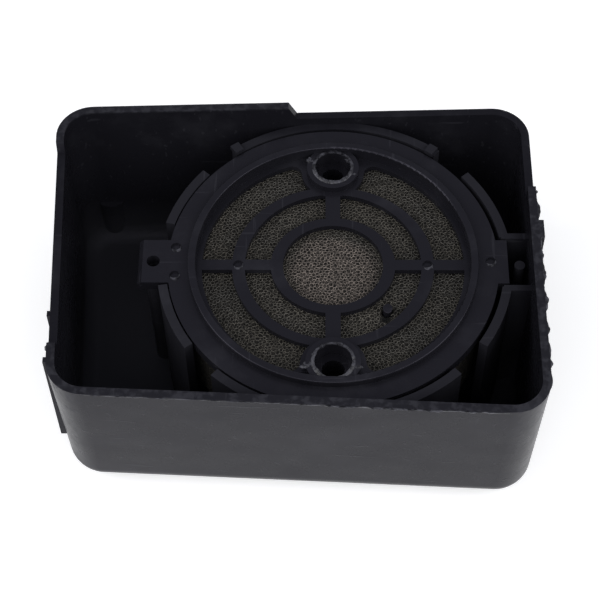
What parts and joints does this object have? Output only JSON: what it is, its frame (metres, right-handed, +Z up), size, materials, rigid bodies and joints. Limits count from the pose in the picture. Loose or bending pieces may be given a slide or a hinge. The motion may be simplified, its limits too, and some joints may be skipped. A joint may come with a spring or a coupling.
{
  "type": "air filter housing",
  "caption": "Air cleaner box for a small engine's carburettor: open moulded housing, lift-out round base plate with grille, foam disc and foam retainer.",
  "frame": {"origin": "centre of the underside of the assembly, which is the outside of the closed face", "axes": "+X along the box towards the tongue pocket, +Y across the box along the line of the bolt holes, +Z up out of the open, carburettor side"},
  "size_m": [0.12, 0.0908, 0.05],
  "materials": {
    "shell_plastic": "moulded black polypropylene, semi-gloss, scuffed at the rim",
    "plate_plastic": "moulded black nylon, semi-gloss",
    "filter_foam": "brown-grey open-cell reticulated foam, dry",
    "retainer_plastic": "moulded black plastic, satin"
  },
  "bodies": {
    "housing": {"housing_shell": "shell_plastic"},
    "plate": {"base_plate": "plate_plastic"},
    "foam": {"foam_element": "filter_foam"},
    "retainer": {"foam_retainer": "retainer_plastic"}
  },
  "joints": [
    {"name": "plate_lift", "type": "slide", "parent": "housing", "child": "plate", "axis": [0, 0, 1], "range_m": [0, 0.06]},
    {"name": "foam_lift", "type": "slide", "parent": "housing", "child": "foam", "axis": [0, 0, 1], "range_m": [0, 0.038]},
    {"name": "retainer_lift", "type": "slide", "parent": "housing", "child": "retainer", "axis": [0, 0, 1], "range_m": [0, 0.016]}
  ],
  "couplings": [
    {"joint": "foam_lift", "follows": "plate_lift", "ratio": 0.62},
    {"joint": "retainer_lift", "follows": "plate_lift", "ratio": 0.26}
  ]
}
